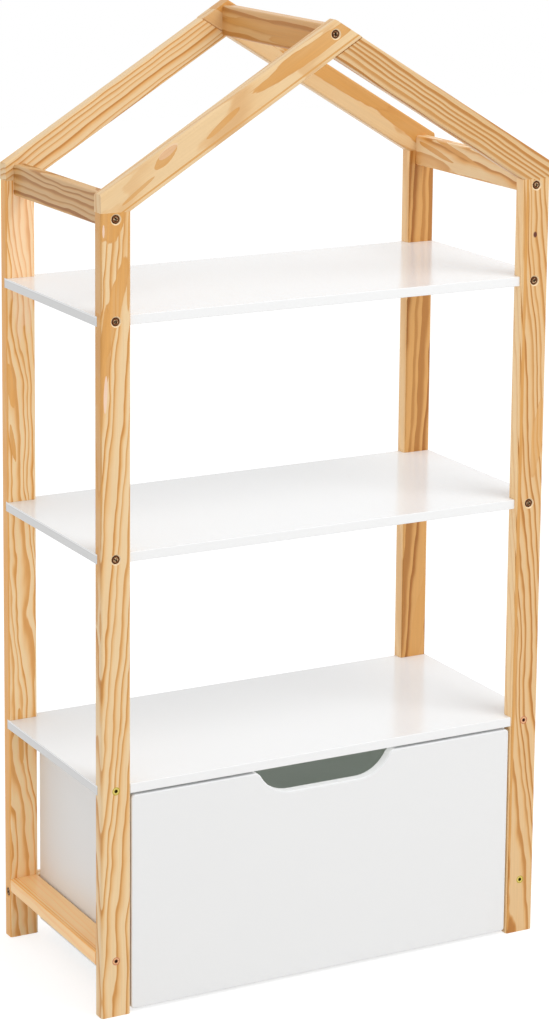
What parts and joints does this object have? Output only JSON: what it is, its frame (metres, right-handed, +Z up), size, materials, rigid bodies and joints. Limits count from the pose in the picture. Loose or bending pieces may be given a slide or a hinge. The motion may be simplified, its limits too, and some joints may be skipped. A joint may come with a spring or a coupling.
{
  "type": "house shaped bookcase",
  "caption": "Child's bookcase shaped like a house: pine frame with a pitched roof, white shelves let into the posts, and a roll-out drawer with a finger scoop.",
  "frame": {"origin": "on the floor under the middle of the bookcase", "axes": "+Z up, -Y towards the front with the drawer, +X to the right seen from the front"},
  "size_m": [0.62, 0.29, 1.2011],
  "materials": {
    "pine": "planed pine with wide growth rings under clear satin lacquer",
    "white_board": "white lacquered board, smooth and slightly glossy",
    "dowel_wood": "plain fluted beech dowel",
    "dark_bronze": "dark bronze plated screw, dull",
    "brass": "yellow passivated screw, satin",
    "zinc_steel": "bright zinc plated sheet and screws",
    "wheel_rubber": "matt dark grey wheel"
  },
  "bodies": {
    "frame": {"front_left_post": "pine", "front_right_post": "pine", "back_left_post": "pine", "back_right_post": "pine", "front_left_rafter": "pine", "front_right_rafter": "pine", "back_left_rafter": "pine", "back_right_rafter": "pine", "ridge_beam": "pine", "left_eaves_rail": "pine", "right_eaves_rail": "pine", "left_bottom_rail": "pine", "right_bottom_rail": "pine", "back_cross_rail": "pine", "top_shelf": "white_board", "middle_shelf": "white_board", "lower_shelf": "white_board", "roof_dowels": "dowel_wood", "rail_dowels": "dowel_wood", "dark_frame_screws": "dark_bronze", "brass_frame_screws": "brass", "cross_rail_screws": "dark_bronze"},
    "drawer": {"drawer_front": "white_board", "drawer_left_side": "white_board", "drawer_right_side": "white_board", "drawer_back": "white_board", "drawer_bottom": "white_board", "castor_brackets": "zinc_steel", "castor_axles": "zinc_steel", "drawer_dowels": "dowel_wood", "drawer_screws": "zinc_steel", "castor_screws": "zinc_steel"},
    "front_left_castor": {"front_left_wheel": "wheel_rubber"},
    "front_right_castor": {"front_right_wheel": "wheel_rubber"},
    "back_left_castor": {"back_left_wheel": "wheel_rubber"},
    "back_right_castor": {"back_right_wheel": "wheel_rubber"}
  },
  "joints": [
    {"name": "drawer_slide", "type": "slide", "parent": "frame", "child": "drawer", "axis": [0, -1, 0], "range_m": [0, 0.25]},
    {"name": "front_left_roll", "type": "hinge", "parent": "drawer", "child": "front_left_castor", "pos_m": [-0.211, -0.0855, 0.0125], "axis": [1, 0, 0], "range_deg": [-10, 1160]},
    {"name": "front_right_roll", "type": "hinge", "parent": "drawer", "child": "front_right_castor", "pos_m": [0.211, -0.0855, 0.0125], "axis": [1, 0, 0], "range_deg": [-10, 1160]},
    {"name": "back_left_roll", "type": "hinge", "parent": "drawer", "child": "back_left_castor", "pos_m": [-0.211, 0.067, 0.0125], "axis": [1, 0, 0], "range_deg": [-10, 1160]},
    {"name": "back_right_roll", "type": "hinge", "parent": "drawer", "child": "back_right_castor", "pos_m": [0.211, 0.067, 0.0125], "axis": [1, 0, 0], "range_deg": [-10, 1160]}
  ],
  "couplings": [
    {"joint": "front_left_roll", "follows": "drawer_slide", "rad_per_m": 80},
    {"joint": "front_right_roll", "follows": "drawer_slide", "rad_per_m": 80},
    {"joint": "back_left_roll", "follows": "drawer_slide", "rad_per_m": 80},
    {"joint": "back_right_roll", "follows": "drawer_slide", "rad_per_m": 80}
  ]
}
